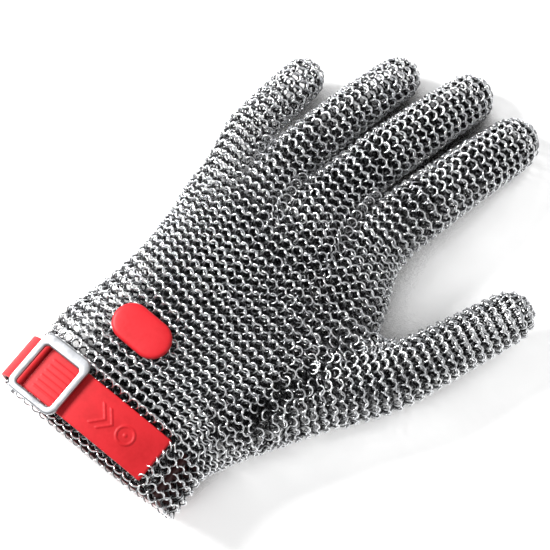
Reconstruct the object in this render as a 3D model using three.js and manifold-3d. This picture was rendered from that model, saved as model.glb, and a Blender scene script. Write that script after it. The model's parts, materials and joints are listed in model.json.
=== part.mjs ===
// Chain mail glove for the left hand: five fingers, a wrist strap with a buckle, and a size badge.
//
// Millimetres, +Z up. The glove lies palm down. +Y runs from the cuff to the fingertips and +X
// points to the thumb side. The origin is the middle of the palm's flat, where the glove rests.
//
// The mail is a net of welded rings. Here each rigid length of it is one thin closed shell with
// the true outer shape, open inside for the hand. Each finger is three shells that nest at the
// knuckles like the lames of a gauntlet: a round inner neck turns inside the tube before it, and
// the palm side of both is cut back so that the finger can curl.

import * as THREE from 'three';
import { mergeVertices } from 'three/addons/utils/BufferGeometryUtils.js';
import Module from 'manifold-3d';

const wasm = await Module();
wasm.setup();

// ---- Driving dimensions ----
// Everything below is laid out from the middle of the cuff opening, on the resting plane. The
// last lines of the file move the whole glove so that the palm rests on the origin.

const PALM_REST = [-8, 72]; // the middle of the palm's flat, from the middle of the cuff opening

const MAIL_WALL = 1.6; // thickness of the mail over the hand
const FINGER_WALL = 1.2; // thickness of the mail round a finger
const GAP = 0.4; // clearance between neighbouring pieces

const CUFF_TURN = 10; // degrees the cuff and strap turn away from the X axis
const CUFF_HALF_WIDTH = 44;
const CUFF_HALF_HEIGHT = 19;
const CUFF_MID_HEIGHT = 21.8;
const RIM_SLANT = -0.27; // the rim reaches further back on top than under the palm

const STRAP_WIDTH = 20;
const STRAP_THICKNESS = 2;
const STRAP_CENTRE = 11.2; // distance of the strap's middle from the cuff rim
const STRAP_ARC_RADIUS = 150; // the gentle arch of the strap over the back of the wrist
const TONGUE_HINGE = 27; // where the strap leaves the mail, measured across the cuff
const TONGUE_TIP = -32.5;

const BUCKLE_LENGTH = 23.8; // along the strap
const BUCKLE_WIDTH = 27; // across the strap
const BUCKLE_THICKNESS = 2.2;
const BUCKLE_SLOPE = 6.5; // degrees the buckle leans down to the little finger side
const PIN_RADIUS = 0.8;
const PIN_ANGLE = 142; // degrees round the cuff ellipse

const BADGE_LENGTH = 27;
const BADGE_WIDTH = 16;
const BADGE_THICKNESS = 2.2;
const BADGE_RIVET_SPACING = 15;

const KNUCKLE_HEIGHT = 18; // height of the knuckle axes above the resting plane
const KNUCKLE_LIFT = 6; // degrees the first finger length rises from the knuckle
const KNUCKLE_TAPER = 25; // length over which a finger widens from its knuckle to its full girth
const STRAIGHT_PART = 8; // least straight length kept in front of that taper

const AROUND = 16; // flats round a finger
const RING_POINTS = 28; // points round a section of the hand

// A finger: knuckle centre, lean towards the thumb in degrees, the three lengths, and the outer
// radii at the knuckle, at the crotch of the fingers, at the two finger joints and at the tip.
const FINGERS = [
  {
    name: 'little', knuckle: [-56, 107], lean: -7.5,
    lengths: [31, 18, 21], radii: [7, 9.4, 9.4, 9.1, 8.5],
  },
  {
    name: 'ring', knuckle: [-38.5, 116], lean: 0,
    lengths: [40, 25, 26.5], radii: [7.5, 10, 9.9, 9.7, 9.4],
  },
  {
    name: 'middle', knuckle: [-16.5, 121], lean: 2.5,
    lengths: [44, 27, 30], radii: [8.5, 11, 11, 10.8, 10.4],
  },
  {
    name: 'index', knuckle: [10, 122], lean: 3,
    lengths: [44, 27, 30], radii: [9.5, 12.5, 12, 11.4, 10.8],
  },
];
const BENDS = { middle: 16, tip: 8 }; // degrees each finger joint is bent at rest
const TRAVEL = { middle: 95, tip: 62 }; // degrees each finger joint can bend from straight

const THUMB = {
  root: [30, 60, 18],
  lean: 28.4,
  lengths: [54.6, 32.6, 35],
  radii: [12.5, 14.2, 12.5, 11.4],
  rootTaper: 15, // length over which it widens from its round root
  turnBack: 17.8, // degrees the thumb turns back towards the index finger at its knuckle
  roll: 50, // degrees its bending plane is rolled out of the fingers' bending plane
  knuckleStep: 1, // how much slimmer the second length is than the first, so that it turns freely
  keep: 40, // degrees of the palm side kept beside the thumb's knuckle
  travel: 75, // degrees the thumb's tip joint can bend
};

// Sections of the hand from the cuff to the knuckles. Each is a rounded oblong standing across
// the hand: centre, half width, bottom and top height, turn in degrees, slant (forward reach
// for each millimetre of height) and squareness (2 is an ellipse). Nothing sinks below Z = 0.
const CUFF_SECTION = {
  half: CUFF_HALF_WIDTH,
  low: CUFF_MID_HEIGHT - CUFF_HALF_HEIGHT,
  high: CUFF_MID_HEIGHT + CUFF_HALF_HEIGHT,
  turn: CUFF_TURN,
  power: 2,
};
const HAND_SECTIONS = [
  { x: 0, y: 0, slant: RIM_SLANT, ...CUFF_SECTION },
  { x: -3.5, y: 19.7, slant: 0, ...CUFF_SECTION },
  { x: -6, y: 28, half: 46, low: 1.5, high: 39.5, turn: 8, slant: 0, power: 2.2 },
  { x: -5, y: 46, half: 45, low: -1.5, high: 37.5, turn: 5, slant: 0, power: 2.4 },
  { x: -5, y: 70, half: 46.5, low: -2, high: 36.5, turn: 0, slant: 0, power: 2.4 },
  { x: -8.5, y: 88, half: 48, low: -2, high: 35.5, turn: 5, slant: 0.1, power: 2.4 },
  { x: -13, y: 101, half: 50, low: -2, high: 34.5, turn: 9, slant: 0.3, power: 2.4 },
  { x: -19, y: 113, half: 49.5, low: -2, high: 34, turn: 12.5, slant: 0.51, power: 2.4 },
];

// ---- Materials ----

const mail = new THREE.MeshStandardMaterial({ color: 0x9a9da0, roughness: 0.35, metalness: 1 });
const steel = new THREE.MeshStandardMaterial({ color: 0xc8cacc, roughness: 0.22, metalness: 1 });
const redPlastic = new THREE.MeshStandardMaterial({ color: 0xd8262c, roughness: 0.42, metalness: 0 });
const redEnamel = new THREE.MeshStandardMaterial({ color: 0xe02a38, roughness: 0.2, metalness: 0 });

// ---- Helpers ----

const radians = THREE.MathUtils.degToRad;
const SAME_POINT = 1e-4; // corners closer than this are one corner

// Merges shared corners, drops collapsed triangles and turns the faces outwards.
function closed(geometry) {
  const bare = geometry.clone();
  bare.deleteAttribute('normal');
  bare.deleteAttribute('uv');
  const merged = mergeVertices(bare, SAME_POINT);
  const place = merged.attributes.position.array;
  const source = merged.index.array;
  const kept = [];
  let volume = 0;
  for (let i = 0; i < source.length; i += 3) {
    const [a, b, c] = [source[i], source[i + 1], source[i + 2]];
    if (a === b || b === c || c === a) continue;
    kept.push(a, b, c);
    const [p, q, r] = [a, b, c].map((k) => new THREE.Vector3().fromArray(place, 3 * k));
    volume += p.dot(q.cross(r));
  }
  if (volume < 0) kept.reverse();
  merged.setIndex(kept);
  return merged;
}

function solid(geometry) {
  const clean = closed(geometry);
  const mesh = new wasm.Mesh({
    numProp: 3,
    vertProperties: new Float32Array(clean.attributes.position.array),
    triVerts: new Uint32Array(clean.index.array),
  });
  return new wasm.Manifold(mesh);
}

function geometryOf(body) {
  const mesh = body.getMesh();
  const geometry = new THREE.BufferGeometry();
  const place = new Float32Array(mesh.vertProperties);
  const index = new Uint32Array(mesh.triVerts);
  geometry.setAttribute('position', new THREE.BufferAttribute(place, 3));
  geometry.setIndex(new THREE.BufferAttribute(index, 1));
  geometry.computeVertexNormals();
  return geometry;
}

function namedMesh(name, geometry, material) {
  const mesh = new THREE.Mesh(geometry, material);
  mesh.name = name;
  return mesh;
}

// A flat outline in the Y-Z plane, pushed out along X on both sides of the middle.
function prismAcross(outline, width) {
  const shape = new THREE.Shape(outline.map(([y, z]) => new THREE.Vector2(y, z)));
  const prism = new THREE.ExtrudeGeometry(shape, { depth: width, bevelEnabled: false });
  prism.translate(0, 0, -width / 2);
  // The outline's first and second axes become Y and Z, and the depth becomes X.
  prism.applyMatrix4(new THREE.Matrix4().set(0, 0, 1, 0, 1, 0, 0, 0, 0, 1, 0, 0, 0, 0, 0, 1));
  return prism;
}

// A flat shape in the X-Y plane, thickened along Z. Each of its arcs gets `arcSteps` flats.
function plate(shape, thickness, arcSteps) {
  const options = { depth: thickness, bevelEnabled: false, curveSegments: arcSteps };
  return new THREE.ExtrudeGeometry(shape, options);
}

// A flat shape in the X-Z plane, pushed out along Y on both sides of the middle.
function prismAlong(shape, width, arcSteps) {
  const prism = plate(shape, width, arcSteps);
  prism.translate(0, 0, -width / 2);
  prism.rotateX(Math.PI / 2);
  return prism;
}

// ---- Finger lengths ----

// Points on an arc about the joint centre, angles measured forward from the widest place.
function arc(radius, from, to, steps) {
  const points = [];
  for (let i = 0; i <= steps; i += 1) {
    const angle = radians(from + ((to - from) * i) / steps);
    points.push(new THREE.Vector2(radius * Math.cos(angle), radius * Math.sin(angle)));
  }
  return points;
}

const NECK_BACK = -50; // degrees behind the joint where the round neck ends
const NECK_FRONT = 8; // degrees in front of the joint where a neck's inside ends
const NECK_STEPS = 3; // flats along the outline of a neck
const DOME_STEPS = 4; // flats along the outline of a fingertip
const LIP = 1.5; // how far a tube reaches past the joint centre on the back of the finger

// The closed outline of one length, turned about its own axis (Y). `neck` is the outer radius of
// the round end, `base` the tube radius just in front of it and `end` the radius at the far end.
function lengthProfile({ neck, base, end, length, lip, taper, domed }) {
  const step = taper === undefined ? LIP + GAP : taper;
  const forward = taper === undefined ? THREE.MathUtils.radToDeg(Math.asin(step / neck)) : 0;
  const innerNeck = neck - FINGER_WALL;
  const points = arc(neck, NECK_BACK, forward, NECK_STEPS);
  points.push(new THREE.Vector2(base, step));
  if (domed) {
    const centre = length - end;
    const dome = [...arc(end, 0, 90, DOME_STEPS), ...arc(end - FINGER_WALL, 90, 0, DOME_STEPS - 1)];
    dome.forEach((p) => points.push(new THREE.Vector2(p.x, p.y + centre)));
  } else {
    points.push(new THREE.Vector2(end, length + lip));
    points.push(new THREE.Vector2(end - FINGER_WALL, length + lip));
  }
  points.push(new THREE.Vector2(base - FINGER_WALL, step + FINGER_WALL));
  return points.concat(arc(innerNeck, Math.min(forward, NECK_FRONT), NECK_BACK, NECK_STEPS));
}

// The dome's outline runs over the axis, so the two halves are turned as separate closed bodies.
function turnedLength(spec) {
  const profile = lengthProfile(spec);
  if (!spec.domed) {
    profile.push(profile[0].clone());
    return solid(new THREE.LatheGeometry(profile, AROUND));
  }
  const apex = profile.findIndex((p) => p.x < SAME_POINT);
  profile.forEach((p) => { p.x = Math.max(p.x, 0); });
  profile[apex].x = 0;
  const outside = profile.slice(0, apex + 1);
  const inside = profile.slice(apex + 1).reverse();
  inside[inside.length - 1].x = 0;
  const whole = [new THREE.Vector2(0, outside[0].y), ...outside];
  const outer = solid(new THREE.LatheGeometry(whole, AROUND));
  const hollowBack = new THREE.Vector2(inside[0].x, inside[0].y - FINGER_WALL);
  const hollow = [new THREE.Vector2(0, hollowBack.y), hollowBack, ...inside];
  return outer.subtract(solid(new THREE.LatheGeometry(hollow, AROUND)));
}

const REACH = 60; // larger than any finger is wide

// Cuts away the palm side in front of a joint, so that this length can swing under the one before.
function openBase(body, keep) {
  const slope = Math.tan(radians(keep));
  const outline = [[0, 0], [0, -REACH], [REACH / slope, -REACH]];
  return body.subtract(solid(prismAcross(outline, REACH)));
}

// The room cut away on the palm side behind a joint, with the lip under it.
function endRelief(keep) {
  const slope = Math.tan(radians(keep));
  const outline = [[0, 0], [-REACH / slope, -REACH], [REACH, -REACH], [REACH, 0]];
  return solid(prismAcross(outline, REACH));
}

function openEnd(body, length, keep) {
  return body.subtract(endRelief(keep).translate([0, length, 0]));
}

const JOINT_SPARE = 1; // degrees left between two lengths when their joint is fully bent

// How much of the palm side each length keeps, measured from the finger's own axis.
function kept(travel) {
  return (180 - travel) / 2 - JOINT_SPARE;
}

function fingerLength(spec) {
  let body = turnedLength(spec);
  if (spec.openBase) body = openBase(body, spec.openBase);
  if (spec.openEnd) body = openEnd(body, spec.length, spec.openEnd);
  return geometryOf(body);
}

function neckInside(tubeRadius) {
  return tubeRadius - FINGER_WALL - GAP;
}

function makeFinger({ name, knuckle, lean, lengths, radii }) {
  const [atKnuckle, atCrotch, atMiddle, atTip, end] = radii;
  const first = new THREE.Group();
  first.position.set(knuckle[0], knuckle[1], KNUCKLE_HEIGHT);
  first.rotation.order = 'ZXY';
  first.rotation.set(radians(KNUCKLE_LIFT), 0, radians(-lean));
  first.add(namedMesh(`${name}_proximal_mail`, fingerLength({
    neck: atKnuckle, base: atCrotch, end: atMiddle, length: lengths[0], lip: LIP,
    taper: Math.min(KNUCKLE_TAPER, lengths[0] - STRAIGHT_PART), openEnd: kept(TRAVEL.middle),
  }), mail));

  const second = new THREE.Group();
  second.position.y = lengths[0];
  second.rotation.x = radians(-BENDS.middle);
  second.add(namedMesh(`${name}_middle_mail`, fingerLength({
    neck: neckInside(atMiddle), base: atMiddle, end: atTip, length: lengths[1], lip: LIP,
    openBase: kept(TRAVEL.middle), openEnd: kept(TRAVEL.tip),
  }), mail));
  first.add(second);

  const third = new THREE.Group();
  third.position.y = lengths[1];
  third.rotation.x = radians(-BENDS.tip);
  third.add(namedMesh(`${name}_tip_mail`, fingerLength({
    neck: neckInside(atTip), base: atTip, end, length: lengths[2], domed: true,
    openBase: kept(TRAVEL.tip),
  }), mail));
  second.add(third);
  return first;
}

// ---- Thumb ----

// `extra` makes it larger all round.
function thumbRootLength(extra) {
  return {
    neck: THUMB.radii[0] + extra, base: THUMB.radii[1] + extra, end: THUMB.radii[1] + extra,
    length: THUMB.lengths[0], lip: -LIP, taper: THUMB.rootTaper,
  };
}

function makeThumb() {
  const root = new THREE.Group();
  root.position.fromArray(THUMB.root);
  root.rotation.order = 'ZXY';
  root.rotation.z = radians(-THUMB.lean);
  const base = turnedLength(thumbRootLength(0));
  const relief = endRelief(THUMB.keep).rotate([0, THUMB.roll, 0]);
  const opened = base.subtract(relief.translate([0, THUMB.lengths[0], 0]));
  root.add(namedMesh('thumb_base_mail', geometryOf(opened), mail));

  const first = new THREE.Group();
  first.position.y = THUMB.lengths[0];
  first.rotation.order = 'ZXY';
  first.rotation.set(0, radians(THUMB.roll), radians(THUMB.turnBack));
  first.add(namedMesh('thumb_proximal_mail', fingerLength({
    neck: neckInside(THUMB.radii[1]), base: THUMB.radii[1] - THUMB.knuckleStep, end: THUMB.radii[2],
    length: THUMB.lengths[1], lip: LIP, openBase: THUMB.keep, openEnd: kept(THUMB.travel),
  }), mail));
  root.add(first);

  const second = new THREE.Group();
  second.position.y = THUMB.lengths[1];
  second.add(namedMesh('thumb_tip_mail', fingerLength({
    neck: neckInside(THUMB.radii[2]), base: THUMB.radii[2], end: THUMB.radii[3],
    length: THUMB.lengths[2], domed: true, openBase: kept(THUMB.travel),
  }), mail));
  first.add(second);
  return root;
}

// ---- Hand ----

// The points of one hand section, moved inwards by `inset`.
function sectionRing({ x, y, half, low, high, turn, slant, power }, inset) {
  const middle = (low + high) / 2;
  const halfHeight = (high - low) / 2 - inset;
  const points = [];
  for (let i = 0; i < RING_POINTS; i += 1) {
    const angle = (2 * Math.PI * i) / RING_POINTS;
    const [c, s] = [Math.cos(angle), Math.sin(angle)];
    const across = (half - inset) * Math.sign(c) * Math.abs(c) ** (2 / power);
    const height = middle + halfHeight * Math.sign(s) * Math.abs(s) ** (2 / power);
    const z = Math.max(height, inset);
    points.push(new THREE.Vector3(
      x + across * Math.cos(radians(turn)),
      y + across * Math.sin(radians(turn)) + (z - middle) * slant,
      z,
    ));
  }
  return points;
}

// Joins each ring to the next and the last to the first.
function loopOfRings(rings) {
  const count = rings[0].length;
  const corners = rings.flat();
  const index = [];
  rings.forEach((_, row) => {
    const next = (row + 1) % rings.length;
    for (let i = 0; i < count; i += 1) {
      const j = (i + 1) % count;
      const [a, b, c, d] = [row * count + i, row * count + j, next * count + i, next * count + j];
      index.push(a, b, d, a, d, c);
    }
  });
  const geometry = new THREE.BufferGeometry().setFromPoints(corners);
  geometry.setIndex(index);
  return geometry;
}

function handShell() {
  const outside = HAND_SECTIONS.map((section) => sectionRing(section, 0));
  const inside = HAND_SECTIONS.map((section) => sectionRing(section, MAIL_WALL)).reverse();
  return solid(loopOfRings([...outside, ...inside]));
}

// ---- Strap ----

// A point beside the cuff ellipse, `offset` outside it, in the cuff's own X-Z plane.
function besideCuff(degrees, offset) {
  const angle = radians(degrees);
  const [c, s] = [Math.cos(angle), Math.sin(angle)];
  const normal = new THREE.Vector2(c / CUFF_HALF_WIDTH, s / CUFF_HALF_HEIGHT).normalize();
  return new THREE.Vector2(
    CUFF_HALF_WIDTH * c + normal.x * offset,
    CUFF_MID_HEIGHT + CUFF_HALF_HEIGHT * s + normal.y * offset,
  );
}

const STRAP_CLEARANCE = 1.5 * GAP;
const OUTSIDE = GAP + STRAP_THICKNESS / 2;
const INSIDE = -(MAIL_WALL + STRAP_THICKNESS / 2 + STRAP_CLEARANCE);
const DIVE = 312; // degrees where the strap starts to pass through the mail by the thumb
const SURFACE = 405; // degrees where it is outside again on the back of the wrist
const SWAP = 20; // degrees each passage takes

// How far the middle of the strap lies outside the cuff: it dives in and comes out again.
function strapOffset(degrees) {
  const inward = THREE.MathUtils.smoothstep(degrees, DIVE, DIVE + SWAP);
  const outward = THREE.MathUtils.smoothstep(degrees, SURFACE - SWAP, SURFACE);
  return THREE.MathUtils.lerp(OUTSIDE, INSIDE, inward - outward);
}

// The strap's edge-on outline between two angles round the cuff.
function strapOutline(from, to, thickness, step) {
  const count = Math.round((to - from) / step);
  const outer = [];
  const inner = [];
  for (let i = 0; i <= count; i += 1) {
    const degrees = from + ((to - from) * i) / count;
    outer.push(besideCuff(degrees, strapOffset(degrees) + thickness / 2));
    inner.push(besideCuff(degrees, strapOffset(degrees) - thickness / 2));
  }
  return new THREE.Shape([...outer, ...inner.reverse()]);
}

const EYE_RADIUS = 2.2;
const pinPlace = besideCuff(PIN_ANGLE, EYE_RADIUS + GAP);
const BAND_START = 145; // degrees where the band leaves its eye
const BAND_END = 409;
const BAND_STEP = 6; // degrees between the points of the band's outline
const PASSAGE_STEP = 4;
const PASSAGE_LEAD = 8; // degrees the passage starts before the dive
const PASSAGE_TAIL = 2;
const ROUND_STEPS = 12; // flats round a small circle
const BORE_STEPS = 8;

function circle(radius, x = 0, y = 0) {
  const shape = new THREE.Shape();
  shape.absarc(x, y, radius, 0, 2 * Math.PI);
  return shape;
}

function strapBand() {
  const outline = strapOutline(BAND_START, BAND_END, STRAP_THICKNESS, BAND_STEP);
  const band = solid(prismAlong(outline, STRAP_WIDTH, 1));
  const round = circle(EYE_RADIUS, pinPlace.x, pinPlace.y);
  const eye = solid(prismAlong(round, STRAP_WIDTH, ROUND_STEPS));
  const hole = circle(PIN_RADIUS + GAP, pinPlace.x, pinPlace.y);
  const bore = solid(prismAlong(hole, 2 * STRAP_WIDTH, BORE_STEPS));
  return band.add(eye).subtract(bore);
}

// The room the strap needs where it passes through the mail.
function strapPassage() {
  const room = STRAP_THICKNESS + STRAP_CLEARANCE;
  const outline = strapOutline(DIVE - PASSAGE_LEAD, BAND_END + PASSAGE_TAIL, room, PASSAGE_STEP);
  return solid(prismAlong(outline, STRAP_WIDTH + 2 * GAP, 1));
}

const ARC_CENTRE_HEIGHT = CUFF_SECTION.high + STRAP_CLEARANCE - STRAP_ARC_RADIUS;

function arcHeight(across, radius) {
  return ARC_CENTRE_HEIGHT + Math.sqrt(radius ** 2 - across ** 2);
}

const tonguePivot = new THREE.Vector2(
  TONGUE_HINGE,
  arcHeight(TONGUE_HINGE, STRAP_ARC_RADIUS + STRAP_THICKNESS / 2),
);
const TONGUE_STEPS = 9;

// The strap over the back of the wrist, drawn about the line where it bends up out of the mail.
function strapTongue() {
  const upper = [];
  const lower = [];
  for (let i = 0; i <= TONGUE_STEPS; i += 1) {
    const across = THREE.MathUtils.lerp(TONGUE_HINGE, TONGUE_TIP, i / TONGUE_STEPS);
    upper.push(new THREE.Vector2(across, arcHeight(across, STRAP_ARC_RADIUS + STRAP_THICKNESS)));
    lower.push(new THREE.Vector2(across, arcHeight(across, STRAP_ARC_RADIUS)));
  }
  const outline = [...upper, ...lower.reverse()].map((p) => p.sub(tonguePivot));
  return solid(prismAlong(new THREE.Shape(outline), STRAP_WIDTH, 1));
}

// ---- Buckle ----

function roundedOblong(left, bottom, right, top, radius) {
  const shape = new THREE.Shape();
  shape.moveTo(left + radius, bottom);
  shape.lineTo(right - radius, bottom);
  shape.absarc(right - radius, bottom + radius, radius, -Math.PI / 2, 0);
  shape.lineTo(right, top - radius);
  shape.absarc(right - radius, top - radius, radius, 0, Math.PI / 2);
  shape.lineTo(left + radius, top);
  shape.absarc(left + radius, top - radius, radius, Math.PI / 2, Math.PI);
  shape.lineTo(left, bottom + radius);
  shape.absarc(left + radius, bottom + radius, radius, Math.PI, 1.5 * Math.PI);
  return shape;
}

const FRAME_BACK = -2; // how far the frame reaches behind its pin
const FRAME_LIFT = 5.3; // height of the frame's underside above the pin
const SIDE_BAR = 3;
const WIDE_BAR = 5;
const LEG_THICKNESS = 2.6;
const LEG_OUTSIDE = 13.3;
const LEG_RADIUS = 2;
const LEG_RAKE = 1; // how far the top of a leg leans towards the strap's tip
const FRAME_CORNER = 4;
const WINDOW_CORNER = 1.5;
const CORNER_STEPS = 4; // flats round a corner
const PIN_HEAD_RADIUS = 1.5;
const PIN_HEAD_THICKNESS = 0.7;

// The frame about its pin: X along the strap, Y across it, Z away from the wrist.
function buckleFrame() {
  const front = FRAME_BACK + BUCKLE_LENGTH;
  const side = BUCKLE_WIDTH / 2;
  const outline = roundedOblong(FRAME_BACK, -side, front, side, FRAME_CORNER);
  outline.holes.push(roundedOblong(
    FRAME_BACK + SIDE_BAR, -side + SIDE_BAR, front - SIDE_BAR, side - WIDE_BAR, WINDOW_CORNER,
  ));
  const legTop = FRAME_LIFT + BUCKLE_THICKNESS / 2;
  let frame = solid(plate(outline, BUCKLE_THICKNESS, CORNER_STEPS)).translate([0, 0, FRAME_LIFT]);
  for (const direction of [-1, 1]) {
    const middle = direction * (LEG_OUTSIDE - LEG_THICKNESS / 2);
    const leg = new THREE.Shape();
    leg.moveTo(LEG_RADIUS, 0);
    leg.lineTo(LEG_RAKE + LEG_RADIUS, legTop);
    leg.lineTo(LEG_RAKE - LEG_RADIUS, legTop);
    leg.lineTo(-LEG_RADIUS, 0);
    leg.absarc(0, 0, LEG_RADIUS, Math.PI, 2 * Math.PI);
    leg.holes.push(circle(PIN_RADIUS + GAP));
    frame = frame.add(solid(prismAlong(leg, LEG_THICKNESS, BORE_STEPS)).translate([0, middle, 0]));
  }
  return frame;
}

function bucklePin() {
  const head = PIN_HEAD_RADIUS;
  const reach = LEG_OUTSIDE + GAP;
  const tip = reach + PIN_HEAD_THICKNESS;
  const profile = [
    [0, -tip], [head, -tip], [head, -reach], [PIN_RADIUS, -reach],
    [PIN_RADIUS, reach], [head, reach], [head, tip], [0, tip],
  ].map(([r, y]) => new THREE.Vector2(r, y));
  return solid(new THREE.LatheGeometry(profile, ROUND_STEPS));
}

// ---- Badge ----

const BADGE_PLACE = [-19, 45, 38.3];
const BADGE_TURN = 8; // degrees
const BADGE_TILT = -5; // degrees it follows the back of the hand down to the little finger side
const RIVET_RADIUS = 1.1;
const BACK_PLATE_DROP = 4.6; // from the face's underside to the top of the plate inside the mail
const BACK_PLATE_THICKNESS = 1;
const BACK_PLATE_LENGTH = BADGE_LENGTH - 5;
const BACK_PLATE_WIDTH = BADGE_WIDTH - 4;
const POCKET_DEPTH = 1.2; // how deep the face is hollowed for each rivet
const RIVET_GAP = 0.3; // clearance round a rivet
const RIVET_HEAD_RADIUS = 2.2;
const RIVET_HEAD_THICKNESS = 0.8;
const RIVET_HEAD_CHAMFER = 0.4;
const RIVET_STEPS = 10; // flats round a rivet

// An oblong whose ends are all but full half circles.
function capsuleOutline(length, width) {
  const endRadius = width / 2 - 0.01;
  return roundedOblong(-length / 2, -width / 2, length / 2, width / 2, endRadius);
}

function rivetHole(radius, low, high, x) {
  const bore = new THREE.CylinderGeometry(radius, radius, high - low, RIVET_STEPS);
  bore.rotateX(Math.PI / 2);
  bore.translate(x, 0, (low + high) / 2);
  return solid(bore);
}

const rivetPlaces = [-BADGE_RIVET_SPACING / 2, BADGE_RIVET_SPACING / 2];

function badgeFace() {
  let face = solid(plate(capsuleOutline(BADGE_LENGTH, BADGE_WIDTH), BADGE_THICKNESS, ROUND_STEPS));
  for (const x of rivetPlaces) {
    face = face.subtract(rivetHole(RIVET_RADIUS + RIVET_GAP, -POCKET_DEPTH, POCKET_DEPTH, x));
  }
  return face;
}

function badgeBack() {
  const bottom = -BACK_PLATE_DROP - BACK_PLATE_THICKNESS;
  const outline = capsuleOutline(BACK_PLATE_LENGTH, BACK_PLATE_WIDTH);
  let back = solid(plate(outline, BACK_PLATE_THICKNESS, ROUND_STEPS)).translate([0, 0, bottom]);
  for (const x of rivetPlaces) {
    back = back.subtract(rivetHole(RIVET_RADIUS + RIVET_GAP, bottom - GAP, 0, x));
  }
  return back;
}

function badgeRivet(x) {
  const low = -BACK_PLATE_DROP - BACK_PLATE_THICKNESS - RIVET_GAP;
  const high = POCKET_DEPTH - RIVET_GAP;
  const foot = low - RIVET_HEAD_THICKNESS;
  const profile = [
    [0, foot], [RIVET_HEAD_RADIUS - RIVET_HEAD_CHAMFER, foot],
    [RIVET_HEAD_RADIUS, foot + RIVET_HEAD_CHAMFER], [RIVET_HEAD_RADIUS, low],
    [RIVET_RADIUS, low], [RIVET_RADIUS, high], [0, high],
  ].map(([r, y]) => new THREE.Vector2(r, y));
  const rivet = new THREE.LatheGeometry(profile, RIVET_STEPS);
  rivet.rotateX(Math.PI / 2);
  rivet.translate(x, 0, 0);
  return solid(rivet);
}

// ---- Assembly ----

const glove = new THREE.Group();

const cuffFrame = new THREE.Group();
cuffFrame.rotation.z = radians(CUFF_TURN);
glove.add(cuffFrame);

const strapFrame = new THREE.Group();
strapFrame.position.y = STRAP_CENTRE;
cuffFrame.add(strapFrame);
strapFrame.add(namedMesh('strap_band', geometryOf(strapBand()), redPlastic));

const tongue = new THREE.Group();
tongue.position.set(tonguePivot.x, 0, tonguePivot.y);
tongue.add(namedMesh('strap_tongue', geometryOf(strapTongue()), redPlastic));
strapFrame.add(tongue);

const buckle = new THREE.Group();
buckle.position.set(pinPlace.x, 0, pinPlace.y);
buckle.rotation.y = radians(-BUCKLE_SLOPE);
buckle.add(namedMesh('buckle_frame', geometryOf(buckleFrame()), steel));
buckle.add(namedMesh('buckle_pin', geometryOf(bucklePin()), steel));
strapFrame.add(buckle);

const badge = new THREE.Group();
badge.position.fromArray(BADGE_PLACE);
badge.rotation.order = 'ZXY';
badge.rotation.set(0, radians(BADGE_TILT), radians(BADGE_TURN));
badge.add(namedMesh('badge_face', geometryOf(badgeFace()), redEnamel));
badge.add(namedMesh('badge_back', geometryOf(badgeBack()), steel));
badge.add(namedMesh('badge_rivet_outer', geometryOf(badgeRivet(rivetPlaces[0])), steel));
badge.add(namedMesh('badge_rivet_inner', geometryOf(badgeRivet(rivetPlaces[1])), steel));
glove.add(badge);

const thumb = makeThumb();
glove.add(thumb);
FINGERS.forEach((finger) => glove.add(makeFinger(finger)));
glove.updateMatrixWorld(true);

// The hand shell is cut last, where the strap, the thumb and the rivets pass through it.
function placed(body, group) {
  return body.transform(group.matrixWorld.elements);
}

const THUMB_SWINGS = [-6, 4, 13, 22]; // degrees about the thumb's root that the window must clear
const THUMB_CLEARANCE = 1;
const WINDOW_LOW = -8; // the rivets' passages through the mail, from the badge's underside
const WINDOW_HIGH = 3;

// The thumb's first length is swept through its swing as a filled body, a little larger.
function thumbWindow() {
  const { neck, base, end, length, lip, taper } = thumbRootLength(THUMB_CLEARANCE);
  const round = arc(neck, NECK_BACK, 0, NECK_STEPS);
  const outline = [
    new THREE.Vector2(0, round[0].y), ...round, new THREE.Vector2(base, taper),
    new THREE.Vector2(end, length + lip), new THREE.Vector2(0, length + lip),
  ];
  const room = solid(new THREE.LatheGeometry(outline, AROUND));
  const places = THUMB_SWINGS.map((swing) => {
    const pose = new THREE.Matrix4().makeTranslation(...THUMB.root);
    pose.multiply(new THREE.Matrix4().makeRotationZ(radians(-THUMB.lean - swing)));
    return room.transform(pose.elements);
  });
  return places.reduce((window, place) => window.add(place));
}

let hand = handShell().subtract(placed(strapPassage(), strapFrame)).subtract(thumbWindow());
for (const x of rivetPlaces) {
  const passage = rivetHole(RIVET_RADIUS + GAP, WINDOW_LOW, WINDOW_HIGH, x);
  hand = hand.subtract(placed(passage, badge));
}
glove.add(namedMesh('hand_mail', geometryOf(hand), mail));

const part = new THREE.Group();
glove.position.set(-PALM_REST[0], -PALM_REST[1], 0);
part.add(glove);

export default part;
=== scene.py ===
"""Chain mail glove for the left hand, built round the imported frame.

The mail is laid out ring by ring. A net of rows and columns covers the hand, its columns carry on
into the four fingers, and a second net covers the thumb. Lengths are in millimetres in the
part's own frame and are turned into metres when a mesh is made.
"""

import json

import bmesh
import bpy
import numpy as np
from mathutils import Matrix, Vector
from mathutils.bvhtree import BVHTree


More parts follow.
